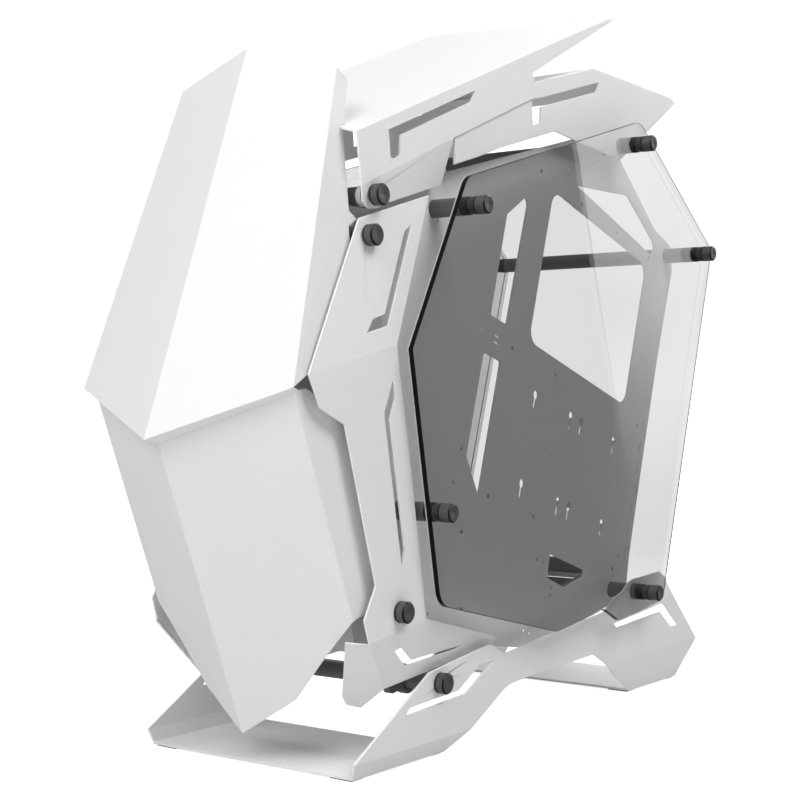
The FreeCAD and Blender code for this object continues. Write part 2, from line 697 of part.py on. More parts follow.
# Rubber pads under the corners of the two floor strips.
def foot_pads():
    reach = size("foot_half") - size("base_wall")
    length, width = size("pad_length"), size("pad_width")
    pads = []
    for first, last in (FRONT_FOOT, REAR_FOOT):
        for y in (first + size("base_wall"), last - size("base_wall") - width):
            for x in (-reach, reach - length):
                pads.append(Part.makeBox(length, width, size("pad_wall"), Vector(x, y, 0)))
    shape_feature("foot_pads", Part.makeCompound(pads))


# Front frame behind the covers: a folded web with side flanges that lie on the tray.
FRAME_TOP = (-222.0, 399.7)
FRAME_BEND = (-243.0, 303.0)
FRAME_FOOT = (-189.5, 84.0)
FRAME_FLANGE_BACK = [(-139.0, 96.0), (-160.0, 303.0), (-152.0, 399.7)]
UPPER_COVER_PEGS = [(-213.0, 350.0), (-234.0, 306.0)]
LOWER_COVER_PEGS = [(-210.0, 200.0), (-193.0, 142.0)]


def front_frame():
    face = size("frame_face")
    corners = [FRAME_TOP, FRAME_BEND, FRAME_FOOT]
    flange = [(face, y, z) for y, z in corners + FRAME_FLANGE_BACK]
    facets = both_sides([flange])
    for a, b in zip(corners, corners[1:]):
        facets.append([(face,) + a, (face,) + b, (-face,) + b, (-face,) + a])
    shape = folded_sheet(facets, size("panel_wall"), Vector(0, -150, 280))
    for a, b in zip(corners, corners[1:]):
        run = Vector(0, b[0] - a[0], b[1] - a[1])
        reach = min(size("fan_opening"), run.Length / 2 - 8.0)
        middle = Vector(0, (a[0] + b[0]) / 2, (a[1] + b[1]) / 2)
        run.normalize()
        across = Vector(1, 0, 0).cross(run)
        start = middle - across * 20.0
        shape = shape.cut(Part.makeCylinder(reach, 40.0, start, across))
        if reach == size("fan_opening"):
            for over in (-0.5, 0.5):
                for along in (-0.5, 0.5):
                    place = start + Vector(over * size("fan_pitch"), 0, 0)
                    place = place + run * (along * size("fan_pitch"))
                    shape = shape.cut(Part.makeCylinder(size("fan_hole"), 40.0, place, across))
    for axis in (UPPER_ARMOUR_ROD, LOWER_ARMOUR_ROD):
        hole = side_cylinder(axis, size("rod_radius") + size("hole_slack"), -face - 1, face + 1)
        shape = shape.cut(hole)
    for axis in FRAME_SCREWS:
        shape = shape.cut(side_cylinder(axis, size("small_hole"), 0, face + 1))
    shape_feature("front_frame", shape)


def cover_pegs():
    """Round pegs between the frame's flanges and the flanges of the two front covers."""
    gap = size("fit_gap")
    low = size("frame_face") + gap
    foot, top = Vector(*UPPER_SIDE_FOOT), Vector(UPPER_SIDE_TOP_X, 0, UPPER_SIDE_TOP_Z)
    slope = (top.x - foot.x) / (top.z - foot.z)
    wall = size("panel_wall")
    pegs = []
    for axis in UPPER_COVER_PEGS:
        high = foot.x + slope * (axis[1] + size("peg_radius") - foot.z) - wall * 1.01 - gap
        pegs.append(side_cylinder(axis, size("peg_radius"), low, high))
    for axis in LOWER_COVER_PEGS:
        high = size("lower_cover_half") - wall - gap
        pegs.append(side_cylinder(axis, size("peg_radius"), low, high))
    pegs += [peg.mirror(Vector(0, 0, 0), Vector(1, 0, 0)) for peg in pegs]
    shape_feature("cover_pegs", Part.makeCompound(pegs))


# Rear bracket for cards: a sheet across the back of the board with one slot for each card,
# a flange on the tray and a shelf that takes the card screws.
def bracket_point(x, along, up, origin=BRACKET_FOOT):
    y, z = along_tilt(origin, along, up)
    return (x, y, z)


def tilted_block(x_low, x_high, along, up):
    """Block along X whose section is a rectangle tilted with the board."""
    outline = [along_tilt(BRACKET_FOOT, a, u) for a, u in
               ((along[0], up[0]), (along[1], up[0]), (along[1], up[1]), (along[0], up[1]))]
    return side_prism(outline, x_low, x_high)


def slot_middle(index):
    return size("slot_start") + index * size("slot_pitch")


def bracket_planes():
    near = size("tray_face") - size("tray_wall") - size("fit_gap")
    return near, near - size("bracket_depth")


def rear_slot_bracket():
    near, far = bracket_planes()
    height = size("bracket_height")
    flange = size("bracket_flange")
    back = [bracket_point(x, 0, up) for x, up in ((near, 0), (near, height), (far, height), (far, 0))]
    on_tray = [bracket_point(near, along, up) for along, up in
               ((0, 0), (0, height), (-flange, height), (-flange, 0))]
    shape = folded_sheet([back, on_tray], size("panel_wall"), Vector(0, 150, 170))
    wall = size("panel_wall")
    shelf = tilted_block(far, far + wall, (-wall, flange), (0, height))
    shape = shape.fuse(shelf).removeSplitter()
    half = size("slot_width") / 2
    start = near - 8.0
    hole = size("small_hole")
    for index in range(int(size("slot_count"))):
        middle = slot_middle(index)
        shape = shape.cut(tilted_block(start - size("slot_length"), start, (-5, 5),
                                       (middle - half, middle + half)))
        axis = along_tilt(BRACKET_FOOT, flange / 2, middle)
        shape = shape.cut(side_cylinder(axis, hole, far - 1, far + wall + 1))
    for axis in bracket_screw_places():
        shape = shape.cut(side_cylinder(axis, hole, near - 3, near + 3))
    shape_feature("rear_slot_bracket", shape)


# Supply bracket: a sheet with a large opening behind the tray, held by a flange on the tray.
SUPPLY_Y = -60.0
SUPPLY_RISE = (82.0, 244.0)
SUPPLY_OPENING_MARGIN = 9.0


def supply_bracket():
    near = size("tray_face") - size("tray_wall") - size("fit_gap")
    far = near - size("supply_depth")
    low, high = SUPPLY_RISE
    back = SUPPLY_Y + size("supply_flange")
    plate = [(near, SUPPLY_Y, low), (near, SUPPLY_Y, high), (far, SUPPLY_Y, high), (far, SUPPLY_Y, low)]
    flange = [(near, SUPPLY_Y, low), (near, SUPPLY_Y, high), (near, back, high), (near, back, low)]
    shape = folded_sheet([plate, flange], size("panel_wall"), Vector(0, 150, 160))
    margin = SUPPLY_OPENING_MARGIN
    width = size("supply_depth") - 2 * margin
    opening = Part.makeBox(width, 10.0, high - low - 2 * margin,
                           Vector(far + margin, SUPPLY_Y - 5.0, low + margin))
    shape = shape.cut(opening)
    for x in (far + margin / 2, near - margin / 2):
        for z in (low + margin / 2, high - margin / 2):
            hole = Part.makeCylinder(size("small_hole"), 10.0, Vector(x, SUPPLY_Y - 5.0, z),
                                     Vector(0, 1, 0))
            shape = shape.cut(hole)
    for axis in SUPPLY_SCREWS:
        shape = shape.cut(side_cylinder(axis, size("small_hole"), near - 3, near + 3))
    shape_feature("supply_bracket", shape)


def tray_hardware():
    """Board standoffs behind the tray and the screws that hold the sheets on it."""
    gap = size("fit_gap")
    outer = size("tray_face")
    inner = outer - size("tray_wall")
    wall = size("panel_wall")
    standoffs = []
    for axis in board_places():
        body = side_cylinder(axis, size("standoff_radius"), inner - gap - size("standoff_length"),
                             inner - gap)
        standoffs.append(body.fuse(side_cylinder(axis, size("screw_radius"), inner - gap,
                                                outer - size("stud_recess"))))
    shape_feature("board_standoffs", Part.makeCompound(standoffs))
    screws = []
    nut = inner - gap - wall - gap - size("screw_head_length")
    heads = [(axis, size("frame_face") + gap, inner - 2.0) for axis in FRAME_SCREWS]
    heads += [(axis, nut, outer - size("flush_gap")) for axis in SUPPLY_SCREWS
              + bracket_screw_places()]
    for axis, base, tip in heads:
        head = side_cylinder(axis, size("screw_head_radius"), base, base + size("screw_head_length"))
        shaft = side_cylinder(axis, size("screw_radius"), min(base, tip), max(base, tip))
        screws.append(head.fuse(shaft))
    shape_feature("tray_screws", Part.makeCompound(screws))


# Rods, knobs and rings. Each rod ends in a thinner stud that its knob screws onto.
def rod(label, axis, shoulder, stud_end):
    main = doc.addObject("Part::Cylinder", label + "_bar")
    main.setExpression("Radius", "Sizes.rod_radius")
    main.Height = 2 * shoulder
    main.Placement = Placement(Vector(-shoulder, axis[0], axis[1]), Rotation(Vector(0, 1, 0), 90))
    stud = doc.addObject("Part::Cylinder", label + "_stud")
    stud.setExpression("Radius", "Sizes.stud_radius")
    stud.Height = 2 * stud_end
    stud.Placement = Placement(Vector(-stud_end, axis[0], axis[1]), Rotation(Vector(0, 1, 0), 90))
    fused = doc.addObject("Part::Fuse", label)
    fused.Base = main
    fused.Tool = stud
    return keep(fused, label)


def knob_shape(axis, base, radius, length, side):
    """Turned knob with a neck groove at its foot, a bevelled face and a blind bore."""
    edge = size("knob_edge")
    neck = size("knob_neck_depth")
    bore = size("stud_radius") + size("hole_slack")
    depth = size("stud_grip") + size("fit_gap")
    neck_end = size("knob_neck_length")
    profile = [(bore, 0), (radius - neck, 0), (radius - neck, neck_end), (radius, neck_end),
               (radius, length - edge), (radius - edge, length), (0, length), (0, depth), (bore, depth)]
    points = [Vector(base + along, axis[0] + out, axis[1]) for out, along in profile]
    turned = flat_face(points).revolve(Vector(0, axis[0], axis[1]), Vector(1, 0, 0), 360)
    if side == FAR:
        turned = turned.mirror(Vector(0, 0, 0), Vector(1, 0, 0))
    return turned


def ring_shape(axis, low, high, radius, bore, side):
    ring = side_cylinder(axis, radius, low, high).cut(side_cylinder(axis, bore, low, high))
    if side == FAR:
        ring = ring.mirror(Vector(0, 0, 0), Vector(1, 0, 0))
    return ring


def outermost(axis, plane):
    """Outermost X of a tilted plate under a knob of the frame."""
    radius = size("frame_knob_radius")
    return max(x_on(plane, axis[0] + radius * math.cos(turn), axis[1] + radius * math.sin(turn))[0]
               for turn in [math.radians(10 * step) for step in range(36)])


def innermost(axis, plane, wall):
    """X of a tilted plate's inner face where a rod's shoulder first meets it."""
    radius = size("rod_radius")
    return min(x_on(plane, axis[0] + radius * math.cos(turn), axis[1] + radius * math.sin(turn))[0]
               for turn in [math.radians(10 * step) for step in range(36)]) - wall


def rods_and_knobs():
    gap = size("fit_gap")
    grip = size("stud_grip")
    wall = size("panel_wall")
    glass = size("glass_inner")
    glass_outer = glass + size("glass_wall")
    spacer_low = glass - size("spacer_length")
    knobs, rings = [], []
    for label, axis in GLASS_RODS.items():
        rod(label, axis, spacer_low, glass_outer + gap + grip)
        for side in (NEAR, FAR):
            knobs.append(knob_shape(axis, glass_outer + gap, size("glass_knob_radius"),
                                    size("glass_knob_length"), side))
            rings.append(ring_shape(axis, spacer_low + gap, glass - gap, size("rod_radius"),
                                    size("stud_radius") + size("hole_slack"), side))
    shape_feature("glass_knobs", Part.makeCompound(knobs))
    shape_feature("glass_spacers", Part.makeCompound(rings))
    upper, middle, arm = armour_planes()
    blade = (Vector(1, 0, 0), Vector(size("blade_face"), 0, 0))
    ring_inner = size("wing_half") - size("wing_spacer_inset")
    frame_rods = [
        ("wing_rod", WING_ROD, wing_strip_plane(), ring_inner),
        ("upper_armour_rod", UPPER_ARMOUR_ROD, upper, None),
        ("lower_armour_rod", LOWER_ARMOUR_ROD, middle, None),
        ("foot_rod", FOOT_ROD, blade, size("blade_face") - size("base_wall") - gap),
    ]
    knobs = []
    for label, axis, plate, shoulder in frame_rods:
        base = outermost(axis, plate) + gap
        if shoulder is None:
            shoulder = innermost(axis, plate, wall / abs(plate[0].x)) - gap
        rod(label, axis, shoulder, base + grip)
        for side in (NEAR, FAR):
            knobs.append(knob_shape(axis, base, size("frame_knob_radius"),
                                    size("frame_knob_length"), side))
    shape_feature("frame_knobs", Part.makeCompound(knobs))
    low = ring_inner + gap
    rings = [ring_shape(WING_ROD, low, low + size("wing_spacer_length"), size("wing_spacer_radius"),
                        size("stud_radius") + size("hole_slack"), side) for side in (NEAR, FAR)]
    shape_feature("wing_spacers", Part.makeCompound(rings))


# Lower brace: a plain rod behind the tray and two flat links that tie it to the foot rod.
def lower_brace():
    gap = size("fit_gap")
    inner = size("tray_face") - size("tray_wall") - gap
    axis = REAR_CROSS_ROD
    bar = side_cylinder(axis, size("rod_radius"), -inner, inner)
    shape_feature("rear_cross_rod", bar.fuse(side_cylinder(axis, size("screw_radius"), inner, inner
                                                           + gap + size("tray_wall"))))
    face = size("link_face")
    low = face - size("link_wall")
    run = Vector(0, axis[0] - FOOT_ROD[0], axis[1] - FOOT_ROD[1])
    run.normalize()
    side = Vector(0, -run.z, run.y) * size("link_half_width")
    tip = Vector(0, FOOT_ROD[0], FOOT_ROD[1]) - run * 20.0
    end = Vector(0, axis[0], axis[1])
    outline = [(p.y, p.z) for p in (tip + side, tip - side, end - side, end + side)]
    link = side_prism(outline, low, face)
    link = link.fuse(side_cylinder((tip.y, tip.z), size("link_half_width"), low, face))
    for place in (FOOT_ROD, axis):
        link = link.fuse(side_cylinder(place, size("link_boss"), low, face))
    for place in (FOOT_ROD, axis):
        hole = side_cylinder(place, size("rod_radius") + size("hole_slack"), low - 1, face + 1)
        link = link.cut(hole)
    link = link.removeSplitter()
    shape_feature("brace_link_near", link)
    shape_feature("brace_link_far", link.mirror(Vector(0, 0, 0), Vector(1, 0, 0)))


front_upper_cover()
front_lower_cover()
armour("armour_near", NEAR)
armour("armour_far", FAR)
top_front_wing()
top_rear_hood()
base_frame()
foot_pads()
front_frame()
cover_pegs()
tray()
tray_hardware()
rear_slot_bracket()
supply_bracket()
glass_panel("glass_near", NEAR)
glass_panel("glass_far", FAR)
rods_and_knobs()
lower_brace()

doc.recompute()
for item in doc.Objects:
    if "Invalid" in item.State or "Error" in item.State:
        raise RuntimeError("%s failed: %s" % (item.Label, item.State))
for item in parts:
    if item.Shape.isNull() or not item.Shape.isValid():
        raise RuntimeError("%s has no valid shape" % item.Label)

os.makedirs("parts", exist_ok=True)
for item in parts:
    item.Shape.exportStep("parts/%s.step" % item.Label)
    print("%-24s %3d solids %10.0f mm3" % (item.Label, len(item.Shape.Solids), item.Shape.Volume))
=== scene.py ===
# %% [markdown]
# # An open-frame computer case
#
# The case is a set of folded steel sheets with a fine white powder coat, two panes of grey
# glass and a handful of black rods that end in turned knobs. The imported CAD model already
# holds every sheet at its real size, so the sheets are kept as they are and only dressed:
# their cut edges get a small round and their faces a coat. The small turned pieces, which
# a lathe would give grooves and fine teeth, are worked out here as surfaces.

import math

import bmesh
import bpy
import numpy as np
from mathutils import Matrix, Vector


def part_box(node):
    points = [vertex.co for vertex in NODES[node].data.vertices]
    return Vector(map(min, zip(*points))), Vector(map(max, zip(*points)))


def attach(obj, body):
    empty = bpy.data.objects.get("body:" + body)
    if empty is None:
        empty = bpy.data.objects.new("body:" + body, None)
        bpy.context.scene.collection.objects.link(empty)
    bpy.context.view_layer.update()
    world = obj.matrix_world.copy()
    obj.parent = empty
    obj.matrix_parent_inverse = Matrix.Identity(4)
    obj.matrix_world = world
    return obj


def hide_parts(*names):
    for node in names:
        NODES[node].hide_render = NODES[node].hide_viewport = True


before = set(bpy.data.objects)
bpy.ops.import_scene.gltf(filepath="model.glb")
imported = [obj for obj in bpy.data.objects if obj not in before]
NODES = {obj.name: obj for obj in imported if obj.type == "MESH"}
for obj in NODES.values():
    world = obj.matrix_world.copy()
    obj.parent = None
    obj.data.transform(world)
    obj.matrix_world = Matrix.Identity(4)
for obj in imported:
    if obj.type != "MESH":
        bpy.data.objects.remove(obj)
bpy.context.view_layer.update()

# %% [markdown]
# ## The view
#
# The case is seen from its front right corner, from a little under half its height. The
# camera looks level, so that upright folds stay upright, and a long lens keeps the front
# covers from looming. The tiny shift puts the horizon three pixels above the middle.

# %% Camera
PICTURE = 800
FOCAL_PIXELS = 1538.0
SENSOR_WIDTH = 36.0
HORIZON_ROW = 397.0
EYE = Vector((0.746, -1.048, 0.2652))
TURN = math.radians(36.2)


def look_from_corner():
    """Level camera at EYE, turned by TURN about the upright, with the lens in pixels."""
    lens = bpy.data.cameras.new("corner_view")
    lens.sensor_width = SENSOR_WIDTH
    lens.lens = FOCAL_PIXELS * SENSOR_WIDTH / PICTURE
    lens.shift_y = (HORIZON_ROW - PICTURE / 2) / PICTURE
    lens.clip_start = 0.05
    lens.clip_end = 60
    camera = bpy.data.objects.new("corner_view", lens)
    camera.location = EYE
    camera.rotation_euler = (math.radians(90), 0, TURN)
    bpy.context.scene.collection.objects.link(camera)
    bpy.context.scene.camera = camera
    return camera


camera = look_from_corner()
bpy.context.scene.view_settings.view_transform = "Standard"
print("lens, mm:", round(camera.data.lens, 1))

# %% [markdown]
# ## Writing a finish as sums
#
# A finish is a small program in nodes. A node tree built by hand is hard to read, so a
# socket is wrapped in a class that knows +, -, * and the like, and each sign adds one Math
# node. Everything else goes through one method that makes any node from its type. The
# surround of the case is a node tree too, so the same class fills it.


# %% Shader sums
# places of the colour sockets on a Mix node
MIX_FACTOR, MIX_FIRST, MIX_SECOND, MIX_COLOUR = 0, 6, 7, 2
WHITE = (1, 1, 1, 1)


class Wire:
    """A number that flows from one node's socket, for use in sums."""

    def __init__(self, finish, socket):
        self.finish = finish
        self.socket = socket

    def _sum(self, operation, *terms):
        return self.finish.node("ShaderNodeMath", {"operation": operation}, enumerate(terms))

    def __add__(self, other):
        return self._sum("ADD", self, other)

    def __sub__(self, other):
        return self._sum("SUBTRACT", self, other)

    def __rsub__(self, other):
        return self._sum("SUBTRACT", other, self)

    def __mul__(self, other):
        return self._sum("MULTIPLY", self, other)

    def __pow__(self, other):
        return self._sum("POWER", self, other)

    def __lt__(self, other):
        return self._sum("LESS_THAN", self, other)

    def __gt__(self, other):
        return self._sum("GREATER_THAN", self, other)

    def size(self):
        return self._sum("ABSOLUTE", self)

    __radd__ = __add__
    __rmul__ = __mul__


class Finish:
    """A material, or the world, with an empty tree and the method that fills it."""

    def __init__(self, name, world=False):
        self.owner = (bpy.data.worlds if world else bpy.data.materials).new(name)
        self.owner.use_nodes = True
        self.tree = self.owner.node_tree
        self.tree.nodes.clear()
        self.end = self.tree.nodes.new("ShaderNodeOutput" + ("World" if world else "Material"))

    def node(self, kind, settings=None, sockets=(), out=0):
        """One node: its settings first, then a value or a link for each named socket."""
        made = self.tree.nodes.new(kind)
        for name, value in (settings or {}).items():
            setattr(made, name, value)
        pairs = sockets.items() if isinstance(sockets, dict) else sockets
        for name, value in pairs:
            if isinstance(value, Wire):
                self.tree.links.new(value.socket, made.inputs[name])
            else:
                made.inputs[name].default_value = value
        return Wire(self, made.outputs[out])

    def place(self):
        """Where a point lies on its piece, in metres."""
        return self.node("ShaderNodeTexCoord", out="Object")

    def grain(self, scale, detail=2.0, rough=0.5, where=None):
        """Noise of that many waves a metre, from 0 to 1."""
        sockets = {"Vector": where or self.place(), "Scale": scale, "Detail": detail,
                   "Roughness": rough}
        return self.node("ShaderNodeTexNoise", {}, sockets, out="Fac")

    def tint(self, factor, dark, light):
        """Colour between two tones by a factor."""
        sockets = [(MIX_FACTOR, factor), (MIX_FIRST, (*dark, 1)), (MIX_SECOND, (*light, 1))]
        return self.node("ShaderNodeMix", {"data_type": "RGBA"}, sockets, out=MIX_COLOUR)

    def fade(self, value, span, low, high, course="LINEAR"):
        """Low where value is at the start of span, high at its end, and between them inside."""
        sockets = {"Value": value, "From Min": span[0], "From Max": span[1],
                   "To Min": low, "To Max": high}
        return self.node("ShaderNodeMapRange", {"interpolation_type": course}, sockets)

    def mix(self, factor, first, second):
        """First shader where factor is 0, second where it is 1."""
        return self.node("ShaderNodeMixShader", {}, [(0, factor), (1, first), (2, second)])

    def glow(self, strength):
        """White light of that strength, given off by a surface."""
        sockets = {"Color": WHITE, "Strength": 1.0}
        sockets["Color" if isinstance(strength, Wire) else "Strength"] = strength
        return self.node("ShaderNodeEmission", {}, sockets)

    def bump(self, height, depth):
        """Normal from a height of 0 to 1, where 1 stands depth metres proud."""
        return self.node("ShaderNodeBump", {}, {"Height": height, "Distance": depth,
                                                "Strength": 1.0})

    def show(self, shader):
        self.tree.links.new(shader.socket, self.end.inputs["Surface"])
        return self.owner


# %% [markdown]
# ## Powder coat
#
# The sheets are sprayed with dry powder that is baked to a hard skin. Close to, it isn't
# flat: it has a fine leathery grain under a millimetre across and a slower unevenness, and
# its gloss changes a little with both. Two noises give the grain a height, and the same
# noises move the roughness, so that shine and form agree.


# %% White coats
def powder_coat(name, tone, roughness, grain_depth):
    coat = Finish(name)
    where = coat.place()
    fine = coat.grain(1500, 3.0, 0.6, where)
    slow = coat.grain(260, 2.0, 0.5, where)
    cloud = coat.grain(6, 3.0, 0.6, where)
    height = fine * 0.65 + slow * 0.35
    skin = {"Base Color": coat.tint(cloud * 0.7 + fine * 0.3, [tone * 0.975] * 3,
                                    [tone * 1.015] * 3),
            "Roughness": roughness + (fine - 0.5) * 0.16 + (cloud - 0.5) * 0.1,
            "Normal": coat.bump(height, grain_depth),
            "Specular IOR Level": 0.45}
    return coat.show(coat.node("ShaderNodeBsdfPrincipled", {}, skin))


white_coat = powder_coat("white_powder_coat", 0.86, 0.46, 0.00016)
inner_coat = powder_coat("inner_powder_coat", 0.80, 0.42, 0.00008)
print("coats:", white_coat.name, inner_coat.name)

# %% [markdown]
# ## Tinted glass
#
# The sides are grey toughened glass, five millimetres thick. A pane this thin hardly bends
# what is behind it, so it is a see-through sheet with a grey tint plus a mirror that grows
# towards a grazing view, as real glass does. Rays of light pass both faces, so each face
# lets through the root of what the pane does. The ground rim holds much more glass in the
# line of sight, so from outside it is given a near-black colour, which is painted shade, with
# a pale band of painted highlight where it meets the inner face. From inside the glass the
# rim passes the light on, and only a dark line of painted shade at its outer corner shows.

# %% Glass
PANE_PASSES = 0.55
FACE_PASSES = math.sqrt(PANE_PASSES)
HEAD_ON = 0.04
pane_low, pane_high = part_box("glass_near")
PANE_INNER, PANE_OUTER = pane_low[0], pane_high[0]
# widths of the painted highlight band by the inner face and of the painted shade line by the
# outer face
PAINTED_HIGHLIGHT_WIDTH = 0.0011
PAINTED_SHADE_WIDTH = 0.0009
# a face of the pane looks along X, and its rim and chamfers look less far that way
FACE_LOOKS = 0.9


def tinted_glass(name):
    glass = Finish(name)
    normal = glass.node("ShaderNodeNewGeometry", out="True Normal")
    across = glass.node("ShaderNodeSeparateXYZ", {}, {"Vector": normal}, out="X").size()
    depth = glass.node("ShaderNodeSeparateXYZ", {}, {"Vector": glass.place()}, out="X").size()
    inside = glass.node("ShaderNodeNewGeometry", out="Backfacing")
    clear = glass.node("ShaderNodeBsdfTransparent", {}, {
        "Color": (FACE_PASSES, FACE_PASSES, FACE_PASSES * 1.005, 1)})
    shine = glass.node("ShaderNodeBsdfPrincipled", {}, {
        "Base Color": (0.9, 0.9, 0.9, 1), "Metallic": 1.0, "Roughness": 0.005})
    grazing = glass.node("ShaderNodeLayerWeight", {}, {"Blend": 0.5}, out="Facing")
    mirror = HEAD_ON + (1 - HEAD_ON) * grazing ** 5
    speck = glass.grain(900, 2.0, 0.6)
    # painted shade: the rim's near-black colour stands for the darkness of the long path
    # through grey glass
    painted_dark_rim = glass.node("ShaderNodeBsdfPrincipled", {}, {
        "Base Color": glass.tint(speck, (0.003, 0.003, 0.003), (0.006, 0.006, 0.006)),
        "Roughness": 0.3 + speck * 0.15, "Specular IOR Level": 0.06})
    # painted highlight: a pale grey band along the rim next to the inner face, standing for the
    # bright edge line
    painted_pale_band = glass.node("ShaderNodeBsdfPrincipled", {}, {
        "Base Color": glass.tint(speck, (0.4, 0.405, 0.405), (0.5, 0.505, 0.505)),
        "Roughness": 0.5 + speck * 0.2})
    from_outside = glass.mix(depth < PANE_INNER + PAINTED_HIGHLIGHT_WIDTH, painted_dark_rim, painted_pale_band)
    from_inside = glass.mix(depth > PANE_OUTER - PAINTED_SHADE_WIDTH, clear, painted_dark_rim)
    rim = glass.mix(inside, from_outside, from_inside)
    return glass.show(glass.mix(across < FACE_LOOKS, glass.mix(mirror, clear, shine), rim))


glass_finish = tinted_glass("tinted_glass")
print("glass passes", PANE_PASSES, "of the light")

# %% [markdown]
# ## Black and bright metal
#
# Rods and links carry a black satin coat. Knobs are turned from aluminium and anodised:
# the lathe leaves fine rings on the end face, which catch light as a soft cross, so the
# end gets a ring pattern in its height and the skin a metallic sheen.


# %% Metals
def coated_bar(name):
    bar = Finish(name)
    grain = bar.grain(900, 3.0, 0.6)
    skin = {"Base Color": bar.tint(grain, (0.10, 0.10, 0.102), (0.14, 0.14, 0.143)),
            "Roughness": 0.3 + grain * 0.16, "Normal": bar.bump(grain, 0.00005)}
    return bar.show(bar.node("ShaderNodeBsdfPrincipled", {}, skin))


def anodised(name, dark, light):
    metal = Finish(name)
    grain = metal.grain(1800, 3.0, 0.6)
    stretch = metal.node("ShaderNodeMapping", {}, {
        "Vector": metal.place(), "Scale": (9000.0, 700.0, 700.0)})
    turning = metal.node("ShaderNodeTexNoise", {}, {"Vector": stretch, "Scale": 1.0,
                                                   "Detail": 1.0}, out="Fac")
    skin = {"Base Color": metal.tint(grain, dark, light), "Metallic": 0.35 + grain * 0.2,
            "Roughness": 0.36 + turning * 0.16, "Normal": metal.bump(turning, 0.00003)}
    return metal.show(metal.node("ShaderNodeBsdfPrincipled", {}, skin))


def plated(name, dark, light, roughness):
    metal = Finish(name)
    grain = metal.grain(1400, 3.0, 0.6)
    skin = {"Base Color": metal.tint(grain, dark, light), "Metallic": 0.92 + grain * 0.08,
            "Roughness": roughness + grain * 0.12, "Normal": metal.bump(grain, 0.00002)}
    return metal.show(metal.node("ShaderNodeBsdfPrincipled", {}, skin))


def moulded(name, dark, light, roughness, depth):
    resin = Finish(name)
    grain = resin.grain(1600, 4.0, 0.6)
    skin = {"Base Color": resin.tint(grain, dark, light),
            "Roughness": roughness + grain * 0.14, "Normal": resin.bump(grain, depth)}
    return resin.show(resin.node("ShaderNodeBsdfPrincipled", {}, skin))


black_coat = coated_bar("black_satin_coat")
knob_finish = anodised("black_anodised", (0.075, 0.075, 0.077), (0.115, 0.115, 0.118))
# painted shade: the groove and the rim cut of each knob take this much darker tone, which
# stands for shade, not for a second anodise
painted_shade_rim_finish = anodised("black_anodised_painted_shade_rim", (0.006, 0.006, 0.006), (0.012, 0.012, 0.012))
steel = plated("zinc_plated_steel", (0.42, 0.42, 0.43), (0.58, 0.58, 0.6), 0.26)
brass = plated("turned_brass", (0.52, 0.38, 0.16), (0.72, 0.55, 0.26), 0.22)
rubber = moulded("black_rubber", (0.010, 0.010, 0.010), (0.022, 0.022, 0.022), 0.66, 0.00006)
white_plastic = moulded("white_plastic", (0.68, 0.68, 0.67), (0.76, 0.76, 0.75), 0.4, 0.00002)
print("finishes:", len(bpy.data.materials))

# %% [markdown]
# ## Folded sheets
#
# A laser cuts the blank and a press folds it, and the coat rounds every corner by a few
# tenths of a millimetre. That tiny round is what draws a thin line of light along each
# edge. The CAD faces arrive as loose triangles, so they are first joined where they touch,
# then every edge sharper than a set angle is bevelled, and the shading is weighted by
# face area so that flat faces stay flat.

# %% Edge rounds
JOIN_DISTANCE = 1e-6
SHARP_ANGLE = math.radians(24)
OUTER_ROUND = 0.0004
INNER_ROUND = 0.0002
BAR_ROUND = 0.0003
PANE_CHAMFER = 0.0007


def round_edges(piece, width, segments):
    """Joined corners, then a bevel of width metres on each sharp edge."""
    weld = piece.modifiers.new("joined", "WELD")
    weld.merge_threshold = JOIN_DISTANCE
    bevel = piece.modifiers.new("edge_round", "BEVEL")
    bevel.width = width
    bevel.segments = segments
    bevel.limit_method = "ANGLE"
    bevel.angle_limit = SHARP_ANGLE
    bevel.use_clamp_overlap = True
    return piece


def dress(name, finish, width, turned=False):
    """A CAD piece in its finish: flat sheets stay faceted, turned pieces are smooth."""
    piece = NODES[name]
    piece.data.materials.clear()
    piece.data.materials.append(finish)
    if turned:
        piece.data.shade_smooth()
    else:
        piece.data.shade_flat()
    round_edges(piece, width, 2 if turned else 1)
    if turned:
        shade = piece.modifiers.new("even_shade", "WEIGHTED_NORMAL")
        shade.keep_sharp = False
    return piece


OUTER_SHEETS = ["front_upper_cover", "front_lower_cover", "armour_near", "armour_far",
                "top_front_wing", "top_rear_hood", "base_frame"]
INNER_SHEETS = ["front_frame", "tray", "rear_slot_bracket", "supply_bracket", "cover_pegs"]
RODS = [name for name in sorted(NODES) if name.endswith("_rod") or "rod_" in name
        or name.startswith("brace_link")]
PANES = ["glass_near", "glass_far"]

for name in OUTER_SHEETS:
    dress(name, white_coat, OUTER_ROUND)
for name in INNER_SHEETS:
    dress(name, inner_coat, INNER_ROUND)
for name in RODS:
    dress(name, black_coat, BAR_ROUND, turned=True)
for name in PANES:
    dress(name, glass_finish, PANE_CHAMFER)
dress("foot_pads", rubber, OUTER_ROUND)
dress("wing_spacers", white_plastic, BAR_ROUND, turned=True)
dress("tray_screws", steel, INNER_ROUND, turned=True)
dress("board_standoffs", brass, INNER_ROUND, turned=True)
print("dressed", len(OUTER_SHEETS) + len(INNER_SHEETS), "sheets and", len(RODS), "rods")

# %% [markdown]
# ## Finding the small pieces
#
# Each node of small pieces holds several loose solids. To replace them by turned ones,
# their places are read from the frame: triangles that share corners belong together, so
# each corner takes the lowest number among its neighbours until nothing changes.


